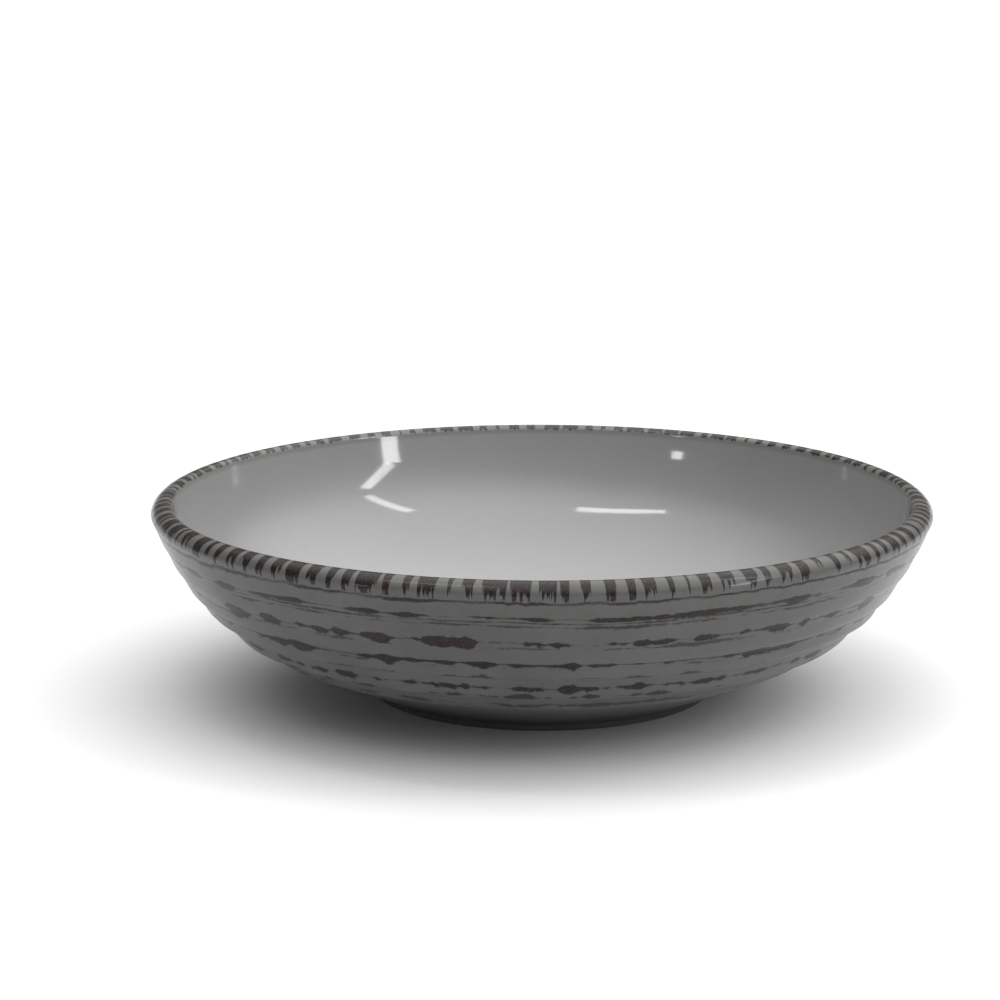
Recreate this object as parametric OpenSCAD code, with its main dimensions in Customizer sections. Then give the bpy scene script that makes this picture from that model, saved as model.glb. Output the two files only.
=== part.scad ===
// Round chip and dip server: a wide, low serving bowl with a coiled outside
// and a rolled rim, and a small dip bowl that sits in a ring on its floor.
// Millimetres, +Z up. The origin is on the table, under the centre of the bowl.

/* [Serving bowl] */
// Width of the serving bowl at its widest point
bowl_d = 356; // [300:2:420]
// Height of the rim above the table
bowl_h = 90; // [70:1:110]
// Thickness of the serving bowl's wall
wall_t = 4.5; // [3.5:0.1:6]
// Thickness of the serving bowl's floor
floor_t = 5; // [4:0.1:7]
// Lean of the wall just below the rim, in degrees from level
upper_lean = 68; // [60:1:76]
// Lean of the wall where it reaches the foot, in degrees from level
lower_lean = 25; // [18:1:32]

/* [Rolled rim] */
// How far the crest stands in from the widest point
rim_w = 7; // [5:0.5:9]
// How far the widest point lies below the crest
rim_drop = 6; // [4:0.5:8]
// Radius between the crest and the inside of the rim
rim_inner_r = 3; // [2:0.5:4]

/* [Coils] */
// Number of raised coils round the outside of the serving bowl
coil_n = 7; // [4:1:8]
// Width of one coil, measured down the wall
coil_pitch = 12.2; // [9:0.1:14]
// How far a coil stands out between its grooves
coil_rise = 1.1; // [0.5:0.1:1.8]
// Wall between the widest point and the first groove
coil_start = 2.7; // [1:0.1:6]

/* [Foot] */
// Outside diameter of the serving bowl's foot ring
foot_d = 158; // [140:2:180]
// Height of the foot ring, under the floor
foot_h = 3; // [2:0.5:5]
// Width of the foot ring
foot_w = 6; // [5:0.5:8]

/* [Dip bowl] */
// Width of the dip bowl at its widest point
dip_d = 108; // [90:2:130]
// Height of the dip bowl, from its foot to its rim
dip_h = 27; // [22:0.5:34]
// Thickness of the dip bowl's wall
dip_wall_t = 3.4; // [2.8:0.1:4.5]
// Thickness of the dip bowl's floor
dip_floor_t = 3.6; // [3:0.1:5]
// How far the dip bowl's crest stands in from its widest point
dip_rim_w = 4; // [3:0.5:5]
// How far the dip bowl's widest point lies below its crest
dip_rim_drop = 3.5; // [2.5:0.5:5]
// Radius between the dip bowl's crest and the inside of its rim
dip_rim_inner_r = 2; // [1.5:0.5:2.5]
// Number of raised coils round the dip bowl
dip_coil_n = 3; // [2:1:4]
// Width of one coil on the dip bowl, measured down the wall
dip_coil_pitch = 8; // [6:0.1:9]
// How far a coil stands out on the dip bowl
dip_coil_rise = 0.7; // [0.3:0.1:1]
// Wall between the dip bowl's widest point and its first groove
dip_coil_start = 1.6; // [1:0.1:3]
// Outside diameter of the dip bowl's foot ring
dip_foot_d = 60; // [50:1:70]
// Height of the dip bowl's foot ring
dip_foot_h = 2; // [1.5:0.5:3]
// Width of the dip bowl's foot ring
dip_foot_w = 4; // [3:0.5:5]

/* [Seat for the dip bowl] */
// Gap all round between the dip bowl's foot and the seat ring
seat_gap = 0.8; // [0.5:0.1:1.5]
// Width of the seat ring
seat_w = 4; // [3:0.5:5]
// Height of the seat ring above the floor
seat_h = 1.6; // [1:0.1:2]

/* [Hidden] */
$fn = 96;
// Pull of the wall's curve towards each end's lean, as a share of its chord
upper_pull = 0.475;
lower_pull = 0.348;
// Share of the wall at which the inside starts to follow the outside
inner_join = 0.25;
// Share of the wall at which the inside leaves it for the floor
floor_join = 0.8;
// Lean of the inside just under the rim, from level
inner_lean = 82;
// Radius on the small edges of the foot and the seat
edge_r = 1;
wall_steps = 120;
rim_steps = 8;
inner_steps = 28;
blend_steps = 10;
edge_steps = 4;
floor_z = foot_h + floor_t;
seat_r = dip_foot_d / 2 + seat_gap;
glaze_grey = "#8e918f";
glaze_light = "#a3a6a4";

// A point and a direction on the cubic curve set by the four control points p
function curve(p, t) =
    pow(1 - t, 3) * p[0] + 3 * pow(1 - t, 2) * t * p[1] + 3 * (1 - t) * t * t * p[2] + pow(t, 3) * p[3];
function heading(p, t) =
    3 * pow(1 - t, 2) * (p[1] - p[0]) + 6 * (1 - t) * t * (p[2] - p[1]) + 3 * t * t * (p[3] - p[2]);
// Unit normal to a curve that runs down and in, towards the hollow of the bowl
function inward(p, t) = let (h = heading(p, t)) [h.y, -h.x] / norm(h);
// Straight-line length from a point to the next, and of a list of points up to each point
function step_after(pts, i) = i + 1 < len(pts) ? norm(pts[i + 1] - pts[i]) : 0;
function lengths(pts) = [for (i = 0, s = 0; i < len(pts); s = s + step_after(pts, i), i = i + 1) s];
// Arc of an ellipse about c, with half-widths rx and ry, from angle a0 to a1
function arc(c, rx, ry, a0, a1, steps) =
    [for (i = [0:steps]) let (a = a0 + (a1 - a0) * i / steps) c + [rx * cos(a), ry * sin(a)]];
// A list of points in the opposite order
function backwards(pts) = [for (i = [len(pts) - 1:-1:0]) pts[i]];
// Height of the coils at a distance down the wall: humps that meet in sharp grooves
function coil(s, start, pitch, count, rise) =
    s <= start || s >= start + pitch * count ? 0 : rise * abs(sin(180 * (s - start) / pitch));

// Control points of the outside of a wall, from the widest point to the top of the foot
function wall_curve(d, h, drop, foot_d, foot_h) =
    let (top = [d / 2, h - drop], toe = [foot_d / 2, foot_h], chord = norm(top - toe))
    [
        top,
        top - upper_pull * chord * [cos(upper_lean), sin(upper_lean)],
        toe + lower_pull * chord * [cos(lower_lean), sin(lower_lean)],
        toe,
    ];

// Outside of the wall with its coils, from the widest point down
function coiled_wall(p, start, pitch, count, rise) =
    let (
        plain = [for (i = [0:wall_steps]) curve(p, i / wall_steps)],
        down = lengths(plain)
    )
    [
        for (i = [0:wall_steps])
            plain[i] - inward(p, i / wall_steps) * coil(down[i], start, pitch, count, rise)
    ];

// Inside of the wall, from under the rim down to the flat floor at level z
function inner_wall(p, from, t, z) =
    let (
        join = curve(p, inner_join) + t * inward(p, inner_join),
        aim = heading(p, inner_join) / norm(heading(p, inner_join)),
        reach = norm(from - join) / 3,
        upper = [from, from - reach * [cos(inner_lean), sin(inner_lean)], join - reach * aim, join],
        last = curve(p, floor_join) + t * inward(p, floor_join),
        slope = heading(p, floor_join) / norm(heading(p, floor_join)),
        bend = last + slope * ((z - last.y) / slope.y),
        run = norm(bend - last),
        lower = [last, last + slope * run * 2 / 3, bend - [run / 3, 0], bend - [run, 0]]
    )
    concat(
        [for (i = [1:blend_steps]) curve(upper, i / blend_steps)],
        [
            for (i = [1:inner_steps])
                let (u = inner_join + (floor_join - inner_join) * i / inner_steps)
                curve(p, u) + t * inward(p, u)
        ],
        [for (i = [1:blend_steps]) curve(lower, i / blend_steps)]
    );

// Foot ring, from the toe of the wall round under the foot to the recess in the middle
function foot(foot_d, foot_h, foot_w) =
    let (out = foot_d / 2, in = foot_d / 2 - foot_w)
    concat(
        arc([out - edge_r, edge_r], edge_r, edge_r, 0, -90, edge_steps),
        arc([in + edge_r, edge_r], edge_r, edge_r, -90, -180, edge_steps),
        [[in, foot_h], [0, foot_h]]
    );

// Section of the seat ring, read from the outside in
function seat() =
    concat(
        [[seat_r + seat_w, floor_z]],
        arc([seat_r + seat_w - edge_r, floor_z + seat_h - edge_r], edge_r, edge_r, 0, 90, edge_steps),
        arc([seat_r + edge_r, floor_z + seat_h - edge_r], edge_r, edge_r, 90, 180, edge_steps),
        [[seat_r, floor_z]]
    );

// Rolled rim, from the inside edge over the crest to the widest point
function rolled_rim(d, h, w, drop, inner_r) =
    let (crest_x = d / 2 - w)
    concat(
        arc([crest_x, h - inner_r], inner_r, inner_r, 180, 90, rim_steps),
        arc([crest_x, h - drop], w, drop, 90, 0, rim_steps)
    );

module serving_bowl() {
    wall = wall_curve(bowl_d, bowl_h, rim_drop, foot_d, foot_h);
    inner_top = [bowl_d / 2 - rim_w - rim_inner_r, bowl_h - rim_inner_r];
    outside = coiled_wall(wall, coil_start, coil_pitch, coil_n, coil_rise);
    inside = inner_wall(wall, inner_top, wall_t, floor_z);
    color(glaze_grey)
        rotate_extrude()
            polygon(concat(
                rolled_rim(bowl_d, bowl_h, rim_w, rim_drop, rim_inner_r),
                [for (i = [1:wall_steps]) outside[i]],
                foot(foot_d, foot_h, foot_w),
                [[0, floor_z]],
                backwards(seat()),
                backwards(inside)
            ));
}

module dip_bowl() {
    wall = wall_curve(dip_d, dip_h, dip_rim_drop, dip_foot_d, dip_foot_h);
    inner_top = [dip_d / 2 - dip_rim_w - dip_rim_inner_r, dip_h - dip_rim_inner_r];
    outside = coiled_wall(wall, dip_coil_start, dip_coil_pitch, dip_coil_n, dip_coil_rise);
    inside = inner_wall(wall, inner_top, dip_wall_t, dip_foot_h + dip_floor_t);
    color(glaze_light)
        translate([0, 0, floor_z])
            rotate_extrude()
                polygon(concat(
                    rolled_rim(dip_d, dip_h, dip_rim_w, dip_rim_drop, dip_rim_inner_r),
                    [for (i = [1:wall_steps]) outside[i]],
                    foot(dip_foot_d, dip_foot_h, dip_foot_w),
                    [[0, dip_foot_h + dip_floor_t]],
                    backwards(inside)
                ));
}

serving_bowl();
dip_bowl();
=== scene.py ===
import math

import bpy
import numpy as np
from bpy.props import FloatProperty, FloatVectorProperty, IntProperty, PointerProperty
from mathutils import Matrix, Vector, noise


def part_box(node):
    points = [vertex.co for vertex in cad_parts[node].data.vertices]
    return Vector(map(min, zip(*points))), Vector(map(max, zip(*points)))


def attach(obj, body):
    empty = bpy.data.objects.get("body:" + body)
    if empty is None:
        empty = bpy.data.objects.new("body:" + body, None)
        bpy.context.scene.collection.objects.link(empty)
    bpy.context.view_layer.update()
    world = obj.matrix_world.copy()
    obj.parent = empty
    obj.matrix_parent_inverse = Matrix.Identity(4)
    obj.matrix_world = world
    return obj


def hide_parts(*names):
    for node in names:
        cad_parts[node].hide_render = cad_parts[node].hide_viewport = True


bl_info = {
    "name": "Chip and Dip Server",
    "version": (1, 0, 0),
    "blender": (4, 5, 0),
    "location": "3D View > Sidebar > Tableware",
    "description": "Turns a coiled, painted serving bowl and the small dip bowl that sits in it",
    "category": "Add Mesh",
}

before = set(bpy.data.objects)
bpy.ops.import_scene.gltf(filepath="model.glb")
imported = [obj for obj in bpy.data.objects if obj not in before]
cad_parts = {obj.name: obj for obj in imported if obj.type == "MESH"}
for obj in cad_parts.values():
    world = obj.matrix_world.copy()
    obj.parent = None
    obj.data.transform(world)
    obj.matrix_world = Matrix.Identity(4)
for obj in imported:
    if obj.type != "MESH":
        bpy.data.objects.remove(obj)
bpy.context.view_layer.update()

MM = 0.001
TAU = 2 * math.pi


def across(node):
    """Width of a CAD node, in metres."""
    low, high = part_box(node)
    return high.x - low.x


def tall(node):
    """Height of a CAD node, in metres."""
    low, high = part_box(node)
    return high.z - low.z


def stands_at(node):
    """Height of the lowest point of a CAD node, in metres."""
    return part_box(node)[0].z


# ---------------------------------------------------------------- sizes and colours

DIP_FOOT = 60 * MM
# Gap all round between the dip bowl's foot and the seat ring
SEAT_GAP = 0.8 * MM


def length(name, description, default):
    """A length that can be changed, in metres."""
    return FloatProperty(
        name=name, description=description, default=default, min=0.0, unit="LENGTH", subtype="DISTANCE"
    )


def angle(name, description, degrees):
    """An angle that can be changed, with its default given in degrees."""
    return FloatProperty(
        name=name, description=description, default=math.radians(degrees), unit="ROTATION", subtype="ANGLE"
    )


def steps_round(default):
    """How many steps a bowl is turned in."""
    return IntProperty(
        name="Segments", description="Steps round the bowl before it is smoothed", default=default, min=3
    )


def colour(name, description, default):
    """A colour that can be changed."""
    return FloatVectorProperty(
        name=name, description=description, default=default, min=0.0, max=1.0, size=3, subtype="COLOR"
    )


class ServingBowlSizes(bpy.types.PropertyGroup):
    width: length("Width", "Across the widest point of the rim", across("serving_bowl"))
    height: length("Height", "From the table to the crest of the rim", tall("serving_bowl"))
    base: length("Base", "Height of the surface the bowl stands on", stands_at("serving_bowl"))
    wall: length("Wall", "Thickness of the wall", 4.5 * MM)
    floor: length("Floor", "Thickness of the floor", 5 * MM)
    upper_lean: angle("Upper lean", "Lean of the wall under the rim, from level", 68)
    lower_lean: angle("Lower lean", "Lean of the wall at the foot, from level", 25)
    rim_width: length("Rim width", "From the widest point in to the crest", 7 * MM)
    rim_drop: length("Rim drop", "From the crest down to the widest point", 6 * MM)
    rim_round: length("Rim rounding", "Radius from the crest to the inside", 3 * MM)
    foot_width: length("Foot", "Outside diameter of the foot ring", 158 * MM)
    foot_height: length("Foot height", "Height of the foot ring", 3 * MM)
    foot_band: length("Foot band", "Width of the ring that touches the table", 6 * MM)
    seat_inner: length("Seat", "Inside radius of the seat ring", DIP_FOOT / 2 + SEAT_GAP)
    seat_band: length("Seat band", "Width of the seat ring", 4 * MM)
    seat_height: length("Seat height", "Height of the seat ring above the floor", 1.6 * MM)
    segments: steps_round(144)


class DipBowlSizes(bpy.types.PropertyGroup):
    width: length("Width", "Across the widest point of the rim", across("dip_bowl"))
    height: length("Height", "From its foot to the crest of the rim", tall("dip_bowl"))
    base: length("Base", "Height of the floor that it stands on", stands_at("dip_bowl"))
    wall: length("Wall", "Thickness of the wall", 3.4 * MM)
    floor: length("Floor", "Thickness of the floor", 3.6 * MM)
    upper_lean: angle("Upper lean", "Lean of the wall under the rim, from level", 68)
    lower_lean: angle("Lower lean", "Lean of the wall at the foot, from level", 25)
    rim_width: length("Rim width", "From the widest point in to the crest", 4 * MM)
    rim_drop: length("Rim drop", "From the crest down to the widest point", 3.5 * MM)
    rim_round: length("Rim rounding", "Radius from the crest to the inside", 2 * MM)
    foot_width: length("Foot", "Outside diameter of the foot ring", DIP_FOOT)
    foot_height: length("Foot height", "Height of the foot ring", 2 * MM)
    foot_band: length("Foot band", "Width of the ring that touches the floor", 4 * MM)
    segments: steps_round(96)


class GlazeColours(bpy.types.PropertyGroup):
    inside: colour("Inside", "Light stone grey inside the bowls", (0.288, 0.290, 0.287))
    crest: colour("Crest", "Warmer grey on top of the rims", (0.150, 0.145, 0.132))
    # The outside's darker grey is partly its own printed grey and partly painted shade on the outer wall,
    # which faces down
    outside: colour("Outside", "Darker grey on the coils", (0.095, 0.097, 0.094))
    # Painted shade: the underside's dark grey stands in for the shade that falls on the downward-facing
    # wall round the foot
    underside: colour("Underside", "Unprinted, nearly black grey round the foot", (0.095, 0.095, 0.092))
    brush: colour("Brush", "Purple-brown of the brush marks", (0.014, 0.0068, 0.0074))
    ochre: colour("Ochre", "Faint spots under the first row", (0.10, 0.08, 0.05))


# ---------------------------------------------------------------- the outline of a bowl

# Pull of the wall's curve towards each end's lean, as a share of its chord
UPPER_PULL, LOWER_PULL = 0.475, 0.348
# Shares of the wall at which the inside starts, and stops, following the outside
INNER_JOIN, FLOOR_JOIN = 0.25, 0.8
INNER_LEAN = math.radians(82)
# Radius on the small edges of the feet and the seat ring
EDGE = 1 * MM
# Straight edge between the foot's rounding and the wall
TOE_EDGE = 0.4 * MM
# Width and height of the small slope where the seat ring meets the floor
SEAT_SLOPE_WIDTH, SEAT_SLOPE_HEIGHT = 0.6 * MM, 0.3 * MM
# Steps along each stretch of the section
WALL_STEP = 2 * MM
MEASURE_STEPS = 60
EDGE_STEPS, CREST_STEPS, RIM_ROUND_STEPS = 4, 8, 6
UNDER_RIM_STEPS, INSIDE_STEPS, FLOOR_BEND_STEPS = 8, 24, 12
# Rings of the recess under the foot and of the floor, as shares of their width
RECESS_RINGS = (0.15, 0.4, 0.65, 0.85, 0.97, 1.0)
FLOOR_RINGS = (0.9, 0.6, 0.3, 0.1)


class Curve:
    """A cubic curve in a bowl's section, as (distance from the axis, height)."""

    def __init__(self, start, start_pull, end_pull, end):
        self.points = [np.array(p) for p in (start, start_pull, end_pull, end)]

    def at(self, t):
        a, b, c, d = self.points
        return (1 - t) ** 3 * a + 3 * (1 - t) ** 2 * t * b + 3 * (1 - t) * t * t * c + t**3 * d

    def heading(self, t):
        a, b, c, d = self.points
        way = 3 * (1 - t) ** 2 * (b - a) + 6 * (1 - t) * t * (c - b) + 3 * t * t * (d - c)
        return way / np.linalg.norm(way)

    def inward(self, t):
        across_, down = self.heading(t)
        return np.array((down, -across_))

    def steps(self, count):
        return [self.at(i / count) for i in range(count + 1)]


def bow(centre, wide, high, start, end, count):
    """Points on an arc of an ellipse, between two angles in degrees."""
    turns = [math.radians(start + (end - start) * i / count) for i in range(count + 1)]
    return [np.array((centre[0] + wide * math.cos(a), centre[1] + high * math.sin(a))) for a in turns]


def wall_curve(bowl):
    """The outside of the wall, from the widest point down to the foot, without its coils."""
    top = np.array((bowl.width / 2, bowl.height - bowl.rim_drop))
    toe = np.array((bowl.foot_width / 2, bowl.foot_height))
    chord = np.linalg.norm(top - toe)
    upper = np.array((math.cos(bowl.upper_lean), math.sin(bowl.upper_lean)))
    lower = np.array((math.cos(bowl.lower_lean), math.sin(bowl.lower_lean)))
    return Curve(top, top - UPPER_PULL * chord * upper, toe + LOWER_PULL * chord * lower, toe)


def inner_wall(bowl, wall, start):
    """The inside, from under the rim down to the flat floor."""
    join = wall.at(INNER_JOIN) + bowl.wall * wall.inward(INNER_JOIN)
    reach = np.linalg.norm(start - join) / 3
    lean = np.array((math.cos(INNER_LEAN), math.sin(INNER_LEAN)))
    upper = Curve(start, start - reach * lean, join - reach * wall.heading(INNER_JOIN), join)
    last = wall.at(FLOOR_JOIN) + bowl.wall * wall.inward(FLOOR_JOIN)
    slope = wall.heading(FLOOR_JOIN)
    bend = last + slope * ((bowl.foot_height + bowl.floor - last[1]) / slope[1])
    run = np.linalg.norm(bend - last)
    level = np.array((run, 0.0))
    lower = Curve(last, last + slope * run * 2 / 3, bend - level / 3, bend - level)
    run_in = FLOOR_JOIN - INNER_JOIN
    middle = [INNER_JOIN + run_in * i / INSIDE_STEPS for i in range(1, INSIDE_STEPS + 1)]
    return (
        upper.steps(UNDER_RIM_STEPS)[1:]
        + [wall.at(t) + bowl.wall * wall.inward(t) for t in middle]
        + lower.steps(FLOOR_BEND_STEPS)[1:]
    )


def foot_ring(bowl):
    """Under the foot, from the recess in the middle out to the toe of the wall."""
    out, inner = bowl.foot_width / 2, bowl.foot_width / 2 - bowl.foot_band
    return (
        [np.array((inner * share, bowl.foot_height)) for share in RECESS_RINGS]
        + bow((inner + EDGE, EDGE), EDGE, EDGE, 180, 270, EDGE_STEPS)
        + bow((out - EDGE, EDGE), EDGE, EDGE, 270, 360, EDGE_STEPS)
        + [np.array((out, bowl.foot_height - TOE_EDGE))]
    )


def seat_ring(bowl):
    """The low ring on the floor, from the outside in."""
    floor = bowl.foot_height + bowl.floor
    inner, outer = bowl.seat_inner, bowl.seat_inner + bowl.seat_band
    top = floor + bowl.seat_height - EDGE
    slope_top = floor + SEAT_SLOPE_HEIGHT
    return (
        [np.array((outer + SEAT_SLOPE_WIDTH, floor)), np.array((outer, slope_top))]
        + bow((outer - EDGE, top), EDGE, EDGE, 0, 90, EDGE_STEPS)
        + bow((inner + EDGE, top), EDGE, EDGE, 90, 180, EDGE_STEPS)
        + [np.array((inner, slope_top)), np.array((inner - SEAT_SLOPE_WIDTH, floor))]
    )


def outline(bowl, seat=()):
    """The whole section, from the middle of the underside, up the outside and down the inside."""
    wall = wall_curve(bowl)
    floor = bowl.foot_height + bowl.floor
    crest = bowl.width / 2 - bowl.rim_width
    outer_centre = (crest, bowl.height - bowl.rim_drop)
    inner_centre = (crest, bowl.height - bowl.rim_round)
    rim = bow(outer_centre, bowl.rim_width, bowl.rim_drop, 0, 90, CREST_STEPS)
    inner_top = bow(inner_centre, bowl.rim_round, bowl.rim_round, 90, 180, RIM_ROUND_STEPS)
    fine = wall.steps(MEASURE_STEPS)
    span = sum(np.linalg.norm(b - a) for a, b in zip(fine, fine[1:]))
    inside = inner_wall(bowl, wall, inner_top[-1])
    middle = seat[-1][0] if seat else inside[-1][0]
    return (
        foot_ring(bowl)
        + wall.steps(round(span / WALL_STEP))[::-1]
        + rim[1:]
        + inner_top[1:]
        + inside
        + list(seat)
        + [np.array((middle * share, floor)) for share in FLOOR_RINGS]
    )


# ---------------------------------------------------------------- turning and coiling a bowl

# Points that each step of the section is split into, and lots that the search for the nearest is done in
SPLIT, LOTS = 4, 40
# How the grooves stray: share of the reach, waves round the bowl, phase, and slant down the wall
STRAY_WAVES = ((0.50, 2, 0.7, 18), (0.32, 5, 2.1, -26), (0.18, 11, 4.0, 41))
# A coil's highest point is lower than its middle, by this power of the share of the way down it
COIL_SAG = 1.8
# Share of a coil's rise by which its grooves lie under the plain wall
GROOVE_DEPTH = 0.5
# Size and height of the swells on the coils
SWELL_SIZE, SWELL_HEIGHT = 28 * MM, 0.35 * MM
# Distances over which the coils start under the rim, die out over the foot, and start to stray
COIL_START, COIL_END, STRAY_START = 3 * MM, 8 * MM, 6 * MM


def deselect_all():
    """Leaves nothing selected, so that the next operator acts only on its own piece."""
    for piece in bpy.context.selected_objects:
        piece.select_set(False)


def turn(name, section, base, segments):
    """Turns a section into a closed bowl: a circle is extruded and scaled from point to point."""
    deselect_all()
    (radius, height), rest = section[0], section[1:]
    bpy.ops.mesh.primitive_circle_add(vertices=segments, radius=radius, location=(0, 0, base + height))
    bowl = bpy.context.active_object
    bowl.name = bowl.data.name = name
    bpy.ops.object.mode_set(mode="EDIT")
    bpy.ops.mesh.select_all(action="SELECT")
    for next_radius, next_height in rest:
        bpy.ops.mesh.extrude_edges_move(
            TRANSFORM_OT_translate={"value": (0, 0, next_height - height)}
        )
        scale = next_radius / radius
        bpy.ops.transform.resize(value=(scale, scale, 1), center_override=(0, 0, base + next_height))
        radius, height = next_radius, next_height
    bpy.ops.mesh.edge_face_add()
    bpy.ops.mesh.poke()
    bpy.ops.mesh.select_all(action="DESELECT")
    bpy.ops.mesh.select_non_manifold()
    bpy.ops.mesh.edge_face_add()
    bpy.ops.mesh.poke()
    bpy.ops.mesh.select_all(action="SELECT")
    bpy.ops.mesh.remove_doubles(threshold=0.01 * MM)
    bpy.ops.mesh.normals_make_consistent(inside=False)
    bpy.ops.object.mode_set(mode="OBJECT")
    bpy.ops.object.transform_apply(location=True, rotation=True, scale=True)
    smooth = bowl.modifiers.new("Smooth", "SUBSURF")
    smooth.levels = smooth.render_levels = 1
    bpy.ops.object.modifier_apply(modifier=smooth.name)
    bpy.ops.object.shade_smooth()
    return bowl


def nearest_of(points, places):
    """For each place, the number of the nearest point."""
    lots = np.array_split(places, LOTS)
    gaps = (np.linalg.norm(points[None] - lot[:, None], axis=2) for lot in lots)
    return np.concatenate([np.argmin(gap, axis=1) for gap in gaps])


def distance_down(section, widest, places):
    """How far each (distance from the axis, height) is along the section from the widest
    point: down the outside it is positive, and over the rim and down the inside negative."""
    shares = np.linspace(0, 1, SPLIT, endpoint=False)[:, None]
    fine = np.concatenate([a + (b - a) * shares for a, b in zip(section, section[1:])])
    along = np.concatenate([[0], np.cumsum(np.linalg.norm(np.diff(fine, axis=0), axis=1))])
    start = along[np.argmin(np.linalg.norm(fine - widest, axis=1))]
    nearest = nearest_of(fine, places)
    step = np.roll(fine, -1, axis=0) - fine
    size = np.maximum(np.linalg.norm(step, axis=1), 1e-9)
    past = np.einsum("ij,ij->i", places - fine[nearest], step[nearest]) / size[nearest]
    return start - (along[nearest] + np.clip(past, -size[nearest], size[nearest]))


def wander(down, bearing, reach):
    """How far the grooves stray from level round the bowl."""
    return reach * sum(
        share * np.sin(waves * bearing + phase + slant * down) for share, waves, phase, slant in STRAY_WAVES
    )


def coil_height(groove, grooves, rises):
    """Height of the coils over the plain wall: soft above, and sharp at the groove below."""
    edges = np.array(grooves)
    under = np.clip(np.searchsorted(edges, groove) - 1, 0, len(edges) - 2)
    share = np.clip((groove - edges[under]) / (edges[under + 1] - edges[under]), 0, 1)
    rise = np.interp(groove, edges, rises)
    return rise * (np.sin(math.pi * share**COIL_SAG) - GROOVE_DEPTH)


def swells(places):
    """Low swells, like those that fingers leave in a coiled pot."""
    return np.array([SWELL_HEIGHT * noise.noise(Vector(p) / SWELL_SIZE) for p in places])


def read_vectors(vertices, name):
    """One property of every vertex, as rows of three numbers."""
    values = np.empty(len(vertices) * 3)
    vertices.foreach_get(name, values)
    return values.reshape(-1, 3)


def coil(bowl_object, bowl, section, grooves, rises, stray):
    """Raises the coils on the outside and stores, for the paint, how far down each point is."""
    mesh = bowl_object.data
    co = read_vectors(mesh.vertices, "co")
    normal = read_vectors(mesh.vertices, "normal")
    places = np.column_stack((np.hypot(co[:, 0], co[:, 1]), co[:, 2] - bowl.base))
    widest = np.array((bowl.width / 2, bowl.height - bowl.rim_drop))
    down = distance_down(section, widest, places)
    bearing = np.arctan2(co[:, 1], co[:, 0])
    outside = np.clip(down / COIL_START, 0, 1) * np.clip((grooves[-1] + COIL_END - down) / COIL_END, 0, 1)
    groove = down - wander(down, bearing, stray) * np.clip(down / STRAY_START, 0, 1)
    height = outside * (coil_height(groove, grooves, rises) + swells(co))
    mesh.vertices.foreach_set("co", (co + normal * height[:, None]).ravel())
    for name, values in (("down", down), ("groove", groove)):
        mesh.attributes.new(name, "FLOAT", "POINT").data.foreach_set("value", values)
    mesh.update()


# ---------------------------------------------------------------- glaze and paint

# Scales of the noise patterns, in waves per metre
SWAY_SCALE, NIB_SCALE = 75, 300
STREAKS_ALONG, STREAKS_ACROSS = 80, 950
TOOTH_SCALE, LOOSE_SCALE = 480, 70
CLOUD_SCALE, SPECK_SCALE, RIPPLE_SCALE, BROAD_SCALE = 35, 1500, 90, 15
# Offsets that give each row, and its dabs, a pattern of their own, in metres
ROW_APART, LOAD_APART = 0.13, 0.05
WAVES_PER_DAB = 0.55
# Share by which a dab hangs lower than it rises over its row
HANG = 0.14
# Half-width of the fullest dabs, as a share of the row's own
FULLEST = 1.4
# Where the paint starts outside its outline, and where it is full inside it
PAINT_STARTS, PAINT_FULL = -0.15 * MM, 0.85 * MM
STROKES_PER_METRE = 108.0
# How fast the gaps between the rim's strokes widen on the way down, and how close the strokes start
GAP_WIDENS, CLOSENESS = 6.0, 0.345
# How much the gaps differ from one to the next, and along their own edges
GAP_LOOSE, GAP_RAGGED = 0.8, 0.30
# The strokes end this far down from the widest point at most
STROKE_LOWEST = 2.0 * MM
# Painted light: the outside is this much lighter low on the wall, lifting the shade that falls on it there
LOWER_PAINTED_LIGHT = 1.22
# The crest is this far from the widest point along the rim, as a share of the rim's mean radius
RIM_BEND = 1.45
# The rim's strokes and colours are placed from this far past the crest
PAST_CREST = 1 * MM


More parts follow.
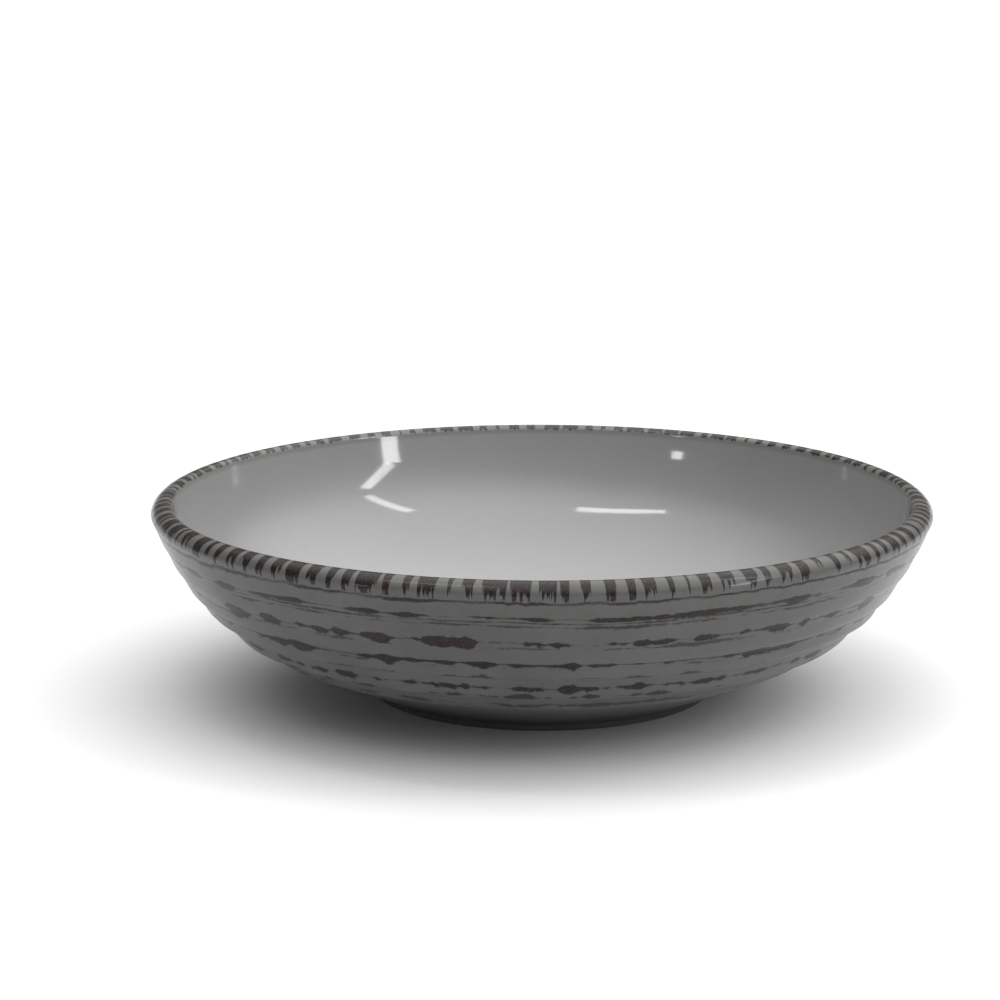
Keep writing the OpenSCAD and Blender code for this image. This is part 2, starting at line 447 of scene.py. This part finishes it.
class Glaze:
    """One material's node tree, with a short call for each kind of node it uses."""

    def __init__(self, name):
        self.material = bpy.data.materials.new(name)
        self.material.use_nodes = True
        self.tree = self.material.node_tree
        self.tree.nodes.clear()

    def feed(self, socket, value):
        """Links a node's output to a socket, or sets a plain value on it."""
        if isinstance(value, bpy.types.NodeSocket):
            self.tree.links.new(value, socket)
        else:
            socket.default_value = value

    def add(self, kind, values=(), **settings):
        """A new node, with its settings and with what goes into its sockets."""
        node = self.tree.nodes.new(kind)
        for name, value in settings.items():
            setattr(node, name, value)
        for key, value in dict(values).items():
            self.feed(node.inputs[key], value)
        return node

    def math(self, operation, *values):
        return self.add("ShaderNodeMath", enumerate(values), operation=operation).outputs[0]

    def vector(self, operation, *values):
        return self.add("ShaderNodeVectorMath", enumerate(values), operation=operation).outputs[0]

    def scaled(self, vector, amount):
        node = self.add("ShaderNodeVectorMath", {0: vector, "Scale": amount}, operation="SCALE")
        return node.outputs[0]

    def ease(self, value, low, high, to_low=0.0, to_high=1.0):
        """Rises smoothly from to_low to to_high as value goes from low to high."""
        values = {0: value, 1: low, 2: high, 3: to_low, 4: to_high}
        return self.add("ShaderNodeMapRange", values, interpolation_type="SMOOTHSTEP").outputs[0]

    def spread(self, value, low, high, to_low=0.0, to_high=1.0):
        """Rises in a straight line from to_low to to_high as value goes from low to high."""
        values = {0: value, 1: low, 2: high, 3: to_low, 4: to_high}
        return self.add("ShaderNodeMapRange", values).outputs[0]

    def noise(self, place, scale, detail=2.0, roughness=0.5):
        values = {"Vector": place, "Scale": scale, "Detail": detail, "Roughness": roughness}
        return self.add("ShaderNodeTexNoise", values, noise_dimensions="3D").outputs[0]

    def mix(self, share, first, second, blend="MIX"):
        node = self.add("ShaderNodeMix", {0: share}, data_type="RGBA", blend_type=blend)
        self.feed(node.inputs[6], first)
        self.feed(node.inputs[7], second)
        return node.outputs[2]

    def attribute(self, name):
        return self.add("ShaderNodeAttribute", attribute_name=name).outputs["Fac"]

    def ramp(self, value, stops):
        """A colour that changes along value, from (place, colour) stops between 0 and 1."""
        node = self.add("ShaderNodeValToRGB", {0: value})
        marks = node.color_ramp.elements
        while len(marks) < len(stops):
            marks.new(0.5)
        for mark, (place, shade) in zip(marks, stops):
            mark.position = place
            mark.color = (*shade, 1.0)
        return node.outputs[0]

    def finish(self, shader):
        """Joins the shader to the material's output and gives the material back."""
        out = self.add("ShaderNodeOutputMaterial")
        self.tree.links.new(shader.outputs[0], out.inputs[0])
        return self.material


class Bearings:
    """Where a point lies on a bowl: how far down the wall, along the grooves, and round."""

    def __init__(self, glaze, radius):
        place = glaze.add("ShaderNodeTexCoord").outputs["Object"]
        flat = glaze.vector("MULTIPLY", place, (1, 1, 0))
        self.place = place
        self.round = glaze.vector("NORMALIZE", flat)
        self.ring = glaze.scaled(self.round, radius)
        self.down = glaze.attribute("down")
        self.groove = glaze.attribute("groove")
        self.radius = radius
        east, north = glaze.add("ShaderNodeSeparateXYZ", {0: self.round}).outputs[:2]
        self.turn = glaze.math("ARCTAN2", north, east)
        # 0 at the front and back of a bowl, and 1 at its left and right
        self.side = glaze.ease(glaze.math("ABSOLUTE", east), 0.15, 0.5)


class Row:
    """One painted row: where it runs, its thin line, and the dabs that swell along it.

    Lengths are given in millimetres: its place down the wall, the half-widths of its line and
    its dabs, the length of a dab, how rough its edges are, how far it strays, and how much
    thicker its line is at the sides. The share of dabs and the strength of the paint go up to 1."""

    def __init__(self, place, line, dab, dab_run, dabs, strength, streaks=0.5, stray=0.6, sides=0.0):
        self.place, self.line, self.dab = place * MM, line * MM, dab * MM
        self.dab_run, self.dabs, self.strength = dab_run * MM, dabs, strength
        self.streaks, self.stray, self.sides = streaks * MM, stray * MM, sides * MM


def paint_row(glaze, on, row, number, bristle, nib):
    """The share of brush colour that a row leaves at each point, from 0 to 1."""
    lane = glaze.vector("ADD", on.ring, (0, 0, ROW_APART * number))
    sway = glaze.math("SUBTRACT", glaze.noise(lane, SWAY_SCALE, 4.0, 0.66), 0.5)
    off = glaze.math("SUBTRACT", on.groove, row.place)
    off = glaze.math("MULTIPLY_ADD", sway, -4 * row.stray, off)
    away = glaze.math("MULTIPLY_ADD", off, -HANG, glaze.math("ABSOLUTE", off))
    other_lane = glaze.vector("ADD", lane, (0, 0, LOAD_APART))
    load = glaze.noise(other_lane, WAVES_PER_DAB / row.dab_run, 2.0, 0.55)
    sparse = 0.5 + 0.3 * (0.5 - row.dabs)
    swell = glaze.spread(load, sparse - 0.02, sparse + 0.20)
    thin = glaze.math("MULTIPLY_ADD", on.side, row.sides, row.line) if row.sides else row.line
    half = glaze.math("MULTIPLY_ADD", swell, FULLEST * row.dab, thin)
    half = glaze.math("MULTIPLY_ADD", bristle, row.streaks, half)
    half = glaze.math("MULTIPLY_ADD", nib, 0.5 * row.streaks + 0.10 * row.dab, half)
    ink = glaze.ease(load, 0.36, 0.50, 0.6 * row.strength, row.strength)
    inside = glaze.ease(glaze.math("SUBTRACT", half, away), PAINT_STARTS, PAINT_FULL)
    return glaze.math("MULTIPLY", inside, ink)


def brush_streaks(glaze, on):
    """Fine level streaks, as bristles leave, from about -1 to 1."""
    fine = glaze.scaled(on.ring, STREAKS_ALONG)
    height = glaze.math("MULTIPLY", on.groove, STREAKS_ACROSS)
    depth = glaze.add("ShaderNodeCombineXYZ", {2: height}).outputs[0]
    streak = glaze.noise(glaze.vector("ADD", fine, depth), 1.0, 3.0, 0.65)
    return glaze.math("MULTIPLY_ADD", streak, 5.0, -2.5)


def brush_nibs(glaze, on):
    """Small uneven bites along the edges of the paint, from about -1 to 1."""
    depth = glaze.add("ShaderNodeCombineXYZ", {2: on.groove}).outputs[0]
    nib = glaze.noise(glaze.vector("ADD", on.ring, depth), NIB_SCALE, 5.0, 0.68)
    return glaze.math("MULTIPLY_ADD", nib, 6.0, -3.0)


def rim_strokes(glaze, on, rim_run, reach):
    """Short strokes pulled over the rim, parted by gaps, with ragged ends that run down."""
    along = glaze.math("MULTIPLY", on.turn, on.radius)
    cells = {"W": along, "Scale": STROKES_PER_METRE, "Randomness": 0.95}
    border = glaze.add("ShaderNodeTexVoronoi", cells, voronoi_dimensions="1D", feature="DISTANCE_TO_EDGE")
    patch = glaze.add("ShaderNodeTexVoronoi", cells, voronoi_dimensions="1D", feature="F1")
    chance = glaze.add("ShaderNodeSeparateColor", {0: patch.outputs["Color"]}).outputs[0]
    tooth = glaze.noise(on.ring, TOOTH_SCALE, 3.0, 0.6)
    loose = glaze.noise(on.ring, LOOSE_SCALE, 1.0, 0.5)
    widen = glaze.math("MULTIPLY", glaze.math("ADD", on.down, rim_run), GAP_WIDENS)
    gap = glaze.math("MULTIPLY_ADD", loose, GAP_LOOSE, glaze.math("SUBTRACT", widen, CLOSENESS))
    gap = glaze.math("MULTIPLY_ADD", tooth, GAP_RAGGED, gap)
    solid = glaze.ease(glaze.math("SUBTRACT", border.outputs[0], gap), -0.02, 0.02)
    run = glaze.math("MULTIPLY_ADD", chance, 0.30 * reach, 0.68 * reach)
    run = glaze.math("MULTIPLY", run, glaze.spread(tooth, 0.34, 0.62, 0.45, 1.12))
    end = glaze.math("MINIMUM", glaze.math("SUBTRACT", run, rim_run), STROKE_LOWEST)
    lower = glaze.ease(glaze.math("SUBTRACT", end, on.down), -0.2 * MM, 0.5 * MM)
    inner = glaze.math("MULTIPLY_ADD", tooth, -4 * MM, -rim_run - 1.5 * MM)
    upper = glaze.ease(glaze.math("SUBTRACT", on.down, inner), 0.0, 0.8 * MM)
    return glaze.math("MULTIPLY", glaze.math("MULTIPLY", solid, lower), upper)


def ochre_spots(glaze, on, place, count):
    """A row of faint round spots, evenly spaced."""
    nth = glaze.math("MULTIPLY", on.turn, count / TAU)
    off = glaze.math("PINGPONG", nth, 0.5)
    side = glaze.math("MULTIPLY", off, TAU * on.radius / count)
    drop = glaze.math("MULTIPLY", glaze.math("SUBTRACT", on.groove, place), 1.3)
    squares = glaze.math("ADD", glaze.math("POWER", side, 2.0), glaze.math("POWER", drop, 2.0))
    away = glaze.math("SQRT", squares)
    return glaze.ease(away, 0.6 * MM, 2.9 * MM, 0.4, 0.0)


def grey_and_painted_shading(glaze, on, colours, rim_run, printed):
    """The grey under the paint, from the inside over the crest and down to the plain foot. The darker
    outside is partly painted shade, the lower wall has painted light, and the foot band has painted shade.
    """
    span = printed + rim_run + 14 * MM
    start = -rim_run - 6 * MM
    level = glaze.math("DIVIDE", glaze.math("SUBTRACT", on.down, start), span)
    # Painted light: the lower outside grey is lifted where the wall faces the shaded floor
    lower = tuple(LOWER_PAINTED_LIGHT * c for c in colours.outside)
    stops = [
        (0.0, colours.inside),
        (4 * MM / span, colours.crest),
        ((rim_run + 4 * MM) / span, colours.outside),
        ((printed * 0.25 - start) / span, colours.outside),
        ((printed * 0.75 - start) / span, lower),
        ((printed - start) / span, lower),
        # Painted shade: the band round the foot darkens to the underside grey
        ((printed + 2.5 * MM - start) / span, colours.underside),
    ]
    return glaze.ramp(level, stops)


def clouded(glaze, on, base, outer, speck):
    """The grey with a faint speckle, and a little cloudy outside."""
    cloud = glaze.math("SUBTRACT", glaze.noise(on.place, CLOUD_SCALE, 3.0, 0.55), 0.5)
    shade = glaze.math("ADD", 1.0, glaze.ease(speck, 0.35, 0.7, -0.02, 0.03))
    shade = glaze.math("MULTIPLY_ADD", cloud, glaze.ease(outer, 0.0, 1.0, 0.06, 0.4), shade)
    even = glaze.add("ShaderNodeCombineColor", {i: shade for i in range(3)}).outputs[0]
    return glaze.mix(1.0, base, even, "MULTIPLY")


def brush_marks(glaze, on, rows, rim_run, reach):
    """Everything painted with the brush: the strokes over the rim and the rows down the wall."""
    streak = brush_streaks(glaze, on)
    nib = brush_nibs(glaze, on)
    marks = rim_strokes(glaze, on, rim_run, reach)
    for number, row in enumerate(rows):
        marks = glaze.math("MAXIMUM", marks, paint_row(glaze, on, row, number, streak, nib))
    return marks


def moulded_surface(glaze, on, outer, marks):
    """The faint ripples of a moulded surface, in millimetres, with the paint a hair lower."""
    ripple = glaze.math("MULTIPLY", glaze.noise(on.place, RIPPLE_SCALE, 2.0, 0.5), 0.07)
    swell = glaze.noise(on.place, BROAD_SCALE, 1.0, 0.4)
    broad = glaze.math("MULTIPLY", swell, glaze.ease(outer, 0.0, 1.0, 0.9, 0.2))
    relief = glaze.math("MULTIPLY_ADD", marks, -0.02, glaze.math("ADD", ripple, broad))
    bump = glaze.add("ShaderNodeBump", {"Strength": 1.0, "Distance": 1 * MM, "Height": relief})
    return bump.outputs[0]


def melamine(name, colours, bowl, rows, strokes_reach, printed, spots=None):
    """Glossy moulded melamine: light inside, darker and brush-marked outside, plain under. The outside's
    darkness is partly painted shade, and the foot band is painted shade.
    """
    glaze = Glaze(name)
    on = Bearings(glaze, bowl.width / 2)
    rim_run = RIM_BEND * (bowl.rim_width + bowl.rim_drop) / 2 + PAST_CREST
    outer = glaze.ease(on.down, -rim_run - 2 * MM, 2 * MM)
    speck = glaze.noise(on.place, SPECK_SCALE, 1.0, 0.5)
    base = clouded(glaze, on, grey_and_painted_shading(glaze, on, colours, rim_run, printed), outer, speck)
    if spots:
        base = glaze.mix(ochre_spots(glaze, on, *spots), base, (*colours.ochre, 1.0))
    marks = brush_marks(glaze, on, rows, rim_run, strokes_reach)
    cover = glaze.math("MULTIPLY", marks, glaze.ease(speck, 0.5, 0.7, 1.0, 0.72))
    rough = glaze.math("MULTIPLY_ADD", outer, 0.22, 0.09)
    shader = glaze.add(
        "ShaderNodeBsdfPrincipled",
        {
            "Base Color": glaze.mix(cover, base, (*colours.brush, 1.0)),
            "Roughness": glaze.math("MULTIPLY_ADD", marks, 0.06, rough),
            "IOR": 1.45,
            "Specular IOR Level": 0.15,
            "Coat Weight": glaze.ease(on.down, -rim_run - 5 * MM, 3 * MM - rim_run, 0.9, 0.22),
            "Coat Roughness": 0.06,
            "Coat IOR": 1.5,
            "Normal": moulded_surface(glaze, on, outer, marks),
        },
    )
    return glaze.finish(shader)


def plain(name, shade, roughness):
    """A plain, faintly uneven finish for the studio floor."""
    glaze = Glaze(name)
    place = glaze.add("ShaderNodeTexCoord").outputs["Object"]
    tone = glaze.ease(glaze.noise(place, 3, 2.0), 0.2, 0.8, 0.0, 1.0)
    skin = glaze.mix(tone, (*[0.995 * c for c in shade], 1.0), (*shade, 1.0))
    values = {"Base Color": skin, "Roughness": roughness, "Specular IOR Level": 0.2}
    return glaze.finish(glaze.add("ShaderNodeBsdfPrincipled", values))


# Painted rows down the wall: place, line, dab, length of a dab, share of dabs, strength
SERVING_ROWS = [
    Row(2.7, 0.98, 0.35, 14, 0.50, 1.0, streaks=0.22, stray=1.20),
    Row(11.2, -0.15, 1.30, 11, 0.90, 1.0, streaks=0.35, stray=0.50, sides=0.75),
    Row(13.6, 0.50, 0.60, 30, 0.55, 0.95, streaks=0.45, stray=0.45),
    Row(15.6, 0.28, 0.75, 34, 0.52, 0.8, streaks=0.60, stray=0.60),
    Row(25.4, 0.42, 2.70, 9, 0.66, 1.0, streaks=0.50, stray=0.90, sides=0.30),
    Row(28.6, 0.05, 1.20, 20, 0.56, 0.7, streaks=0.80, stray=1.00),
    Row(39.4, 0.76, 2.40, 12, 0.55, 1.0, streaks=0.30, stray=0.80, sides=0.25),
    Row(42.0, 0.05, 0.90, 22, 0.52, 0.75, streaks=0.60, stray=0.90),
    Row(48.5, -0.10, 2.00, 11, 0.66, 0.8, streaks=0.70, stray=1.60),
    Row(58.0, 0.42, 2.20, 9, 0.60, 0.95, streaks=0.45, stray=0.90),
    Row(64.0, -0.20, 2.40, 9, 0.58, 0.85, streaks=0.60, stray=1.20),
    Row(71.5, 0.50, 1.20, 22, 0.58, 0.85, streaks=0.60, stray=0.70),
    Row(78.0, 0.15, 1.30, 18, 0.55, 0.7, streaks=0.70, stray=1.00),
    Row(87.0, 0.05, 1.50, 15, 0.72, 1.0, streaks=0.35, stray=0.45),
]
SERVING_GROOVES = [m * MM for m in (2.7, 13.0, 25.8, 39.7, 50.5, 72.0, 87.0)]
SERVING_RISES = [m * MM for m in (0.2, 0.3, 0.5, 1.2, 2.3, 2.5, 1.2)]
SERVING_STRAY = 1.8 * MM
# How far down the paint goes, how long a rim stroke is at most, and the ochre spots' place and number
SERVING_PRINTED = 90 * MM
SERVING_STROKES = 15 * MM
SERVING_SPOTS = (8 * MM, 64)

DIP_ROWS = [
    Row(2.2, 0.30, 0.25, 16, 0.50, 1.0, streaks=0.12, stray=0.30),
    Row(9.4, 0.05, 1.80, 8, 0.55, 1.0, streaks=0.40, stray=0.40),
    Row(17.5, 0.15, 1.60, 8, 0.48, 0.9, streaks=0.45, stray=0.40),
]
DIP_GROOVES = [m * MM for m in (1.6, 9.6, 17.6, 25.6)]
DIP_RISES = [m * MM for m in (0.2, 0.7, 0.7, 0.5)]
DIP_STRAY = 0.6 * MM
DIP_PRINTED = 24 * MM
DIP_STROKES = 7 * MM


# ---------------------------------------------------------------- the studio

# Soft lamps: both ends in metres, width in metres, and brightness
LAMPS = {
    "right_strip_low": ((1.08, -0.80, 0.22), (1.045, -0.755, 0.50), 0.14, 12),
    "right_strip_middle": ((1.056, -0.743, 0.50), (1.10, -0.377, 0.82), 0.10, 10),
    "right_strip_high": ((1.04, -0.29, 0.95), (0.68, -0.115, 1.33), 0.08, 8),
    "left_strip": ((-0.20, -0.31, 1.46), (-0.65, -0.12, 1.34), 0.08, 9),
    "left_lamp": ((-0.96, -0.87, 0.41), (-1.04, -0.83, 0.41), 0.11, 12),
}
# Middle of the bowls, which the lamps face
FACING = Vector((0, 0, 0.05))
# The brightest part of the sky, where its patch starts and is full, and how bright it is there
ZENITH = Vector((0.22, 0.06, 1.0)).normalized()
PATCH_STARTS, PATCH_FULL = 0.35, 0.97
SKY_LOW, SKY_HIGH = 0.20, 2.30
FLOOR_SIZE = 40
FLOOR_SHADE, FLOOR_ROUGHNESS = (0.86, 0.86, 0.86), 0.9
CAMERA_PLACE = (-0.019, -1.424, 0.3895)
CAMERA_TILT = math.radians(78.01)
# Focal length and sensor width, in millimetres
CAMERA_LENS, CAMERA_SENSOR = 114.5, 36


def strip_light(name, start, end, width, radiance):
    """A long soft lamp between two points, facing the bowls."""
    start, end = Vector(start), Vector(end)
    middle = (start + end) / 2
    back = (middle - FACING).normalized()
    along = (end - start) - (end - start).dot(back) * back
    along.normalize()
    turned = Matrix((along, back.cross(along), back)).transposed().to_euler()
    bpy.ops.object.light_add(type="AREA", location=middle, rotation=turned)
    lamp = bpy.context.active_object
    lamp.name = name
    lamp.data.shape = "RECTANGLE"
    lamp.data.size, lamp.data.size_y = (end - start).length, width
    lamp.data.energy = radiance * math.pi * lamp.data.size * width


def studio_world(name):
    """Even light from all round, and brighter towards a soft patch overhead."""
    world = bpy.data.worlds.new(name)
    world.use_nodes = True
    tree = world.node_tree
    way = tree.nodes.new("ShaderNodeTexCoord").outputs["Generated"]
    lean = tree.nodes.new("ShaderNodeVectorMath")
    lean.operation = "DOT_PRODUCT"
    lean.inputs[1].default_value = ZENITH
    rise = tree.nodes.new("ShaderNodeMapRange")
    rise.interpolation_type = "SMOOTHSTEP"
    for socket, value in zip(rise.inputs[1:5], (PATCH_STARTS, PATCH_FULL, SKY_LOW, SKY_HIGH)):
        socket.default_value = value
    tree.links.new(way, lean.inputs[0])
    tree.links.new(lean.outputs["Value"], rise.inputs[0])
    tree.links.new(rise.outputs[0], tree.nodes["Background"].inputs["Strength"])
    tree.nodes["Background"].inputs["Color"].default_value = (1.0, 1.0, 1.0, 1.0)
    return world


def pale_floor():
    """A wide plain floor at the height of the serving bowl's foot."""
    deselect_all()
    bpy.ops.mesh.primitive_plane_add(size=FLOOR_SIZE, location=(0, 0, stands_at("serving_bowl")))
    floor = bpy.context.active_object
    floor.name = "studio_floor"
    floor.data.materials.append(plain("pale floor", FLOOR_SHADE, FLOOR_ROUGHNESS))
    return floor


def front_camera():
    """A long lens that looks in over the near rim."""
    bpy.ops.object.camera_add(location=CAMERA_PLACE, rotation=(CAMERA_TILT, 0, 0))
    camera = bpy.context.active_object
    camera.data.lens = CAMERA_LENS
    camera.data.sensor_width = CAMERA_SENSOR
    return camera


# ---------------------------------------------------------------- operators


def finish_piece(piece, body, node, material):
    """Dresses a bowl and lets it stand for its CAD node."""
    piece.data.materials.clear()
    piece.data.materials.append(material)
    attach(piece, body)
    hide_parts(node)


class SERVER_OT_serving_bowl(bpy.types.Operator):
    """Turn the serving bowl, raise its coils and paint it"""

    bl_idname = "server.serving_bowl"
    bl_label = "Serving Bowl"

    def execute(self, context):
        bowl = context.scene.serving_bowl
        section = outline(bowl, seat_ring(bowl))
        piece = turn("serving_bowl_melamine", section, bowl.base, bowl.segments)
        coil(piece, bowl, section, SERVING_GROOVES, SERVING_RISES, SERVING_STRAY)
        paint = melamine(
            "serving melamine",
            context.scene.glaze_colours,
            bowl,
            SERVING_ROWS,
            SERVING_STROKES,
            SERVING_PRINTED,
            SERVING_SPOTS,
        )
        finish_piece(piece, "serving_bowl", "serving_bowl", paint)
        return {"FINISHED"}


class SERVER_OT_dip_bowl(bpy.types.Operator):
    """Turn the dip bowl, raise its coils and paint it"""

    bl_idname = "server.dip_bowl"
    bl_label = "Dip Bowl"

    def execute(self, context):
        bowl = context.scene.dip_bowl
        section = outline(bowl)
        piece = turn("dip_bowl_melamine", section, bowl.base, bowl.segments)
        coil(piece, bowl, section, DIP_GROOVES, DIP_RISES, DIP_STRAY)
        paint = melamine(
            "dip melamine", context.scene.glaze_colours, bowl, DIP_ROWS, DIP_STROKES, DIP_PRINTED
        )
        finish_piece(piece, "dip_bowl", "dip_bowl", paint)
        return {"FINISHED"}


class SERVER_OT_studio(bpy.types.Operator):
    """Add the pale floor, the soft lights and the camera"""

    bl_idname = "server.studio"
    bl_label = "Studio"

    def execute(self, context):
        pale_floor()
        context.scene.world = studio_world("studio")
        for name, (start, end, width, radiance) in LAMPS.items():
            strip_light(name, start, end, width, radiance)
        context.scene.camera = front_camera()
        context.scene.view_settings.view_transform = "Standard"
        return {"FINISHED"}


class SERVER_PT_sidebar(bpy.types.Panel):
    """Lists the pieces in the 3D view's sidebar"""

    bl_idname = "SERVER_PT_sidebar"
    bl_label = "Chip and Dip Server"
    bl_space_type = "VIEW_3D"
    bl_region_type = "UI"
    bl_category = "Tableware"

    def draw(self, context):
        for operator in OPERATORS:
            self.layout.operator(operator.bl_idname)
        for group in (context.scene.serving_bowl, context.scene.dip_bowl, context.scene.glaze_colours):
            box = self.layout.box()
            for name in group.__annotations__:
                box.prop(group, name)


OPERATORS = (SERVER_OT_serving_bowl, SERVER_OT_dip_bowl, SERVER_OT_studio)
CLASSES = (ServingBowlSizes, DipBowlSizes, GlazeColours, *OPERATORS, SERVER_PT_sidebar)


def register():
    for cls in CLASSES:
        bpy.utils.register_class(cls)
    bpy.types.Scene.serving_bowl = PointerProperty(type=ServingBowlSizes)
    bpy.types.Scene.dip_bowl = PointerProperty(type=DipBowlSizes)
    bpy.types.Scene.glaze_colours = PointerProperty(type=GlazeColours)


def unregister():
    del bpy.types.Scene.serving_bowl
    del bpy.types.Scene.dip_bowl
    del bpy.types.Scene.glaze_colours
    for cls in reversed(CLASSES):
        bpy.utils.unregister_class(cls)


def main():
    register()
    bpy.ops.server.studio()
    bpy.ops.server.serving_bowl()
    bpy.ops.server.dip_bowl()


if __name__ == "__main__":
    main()
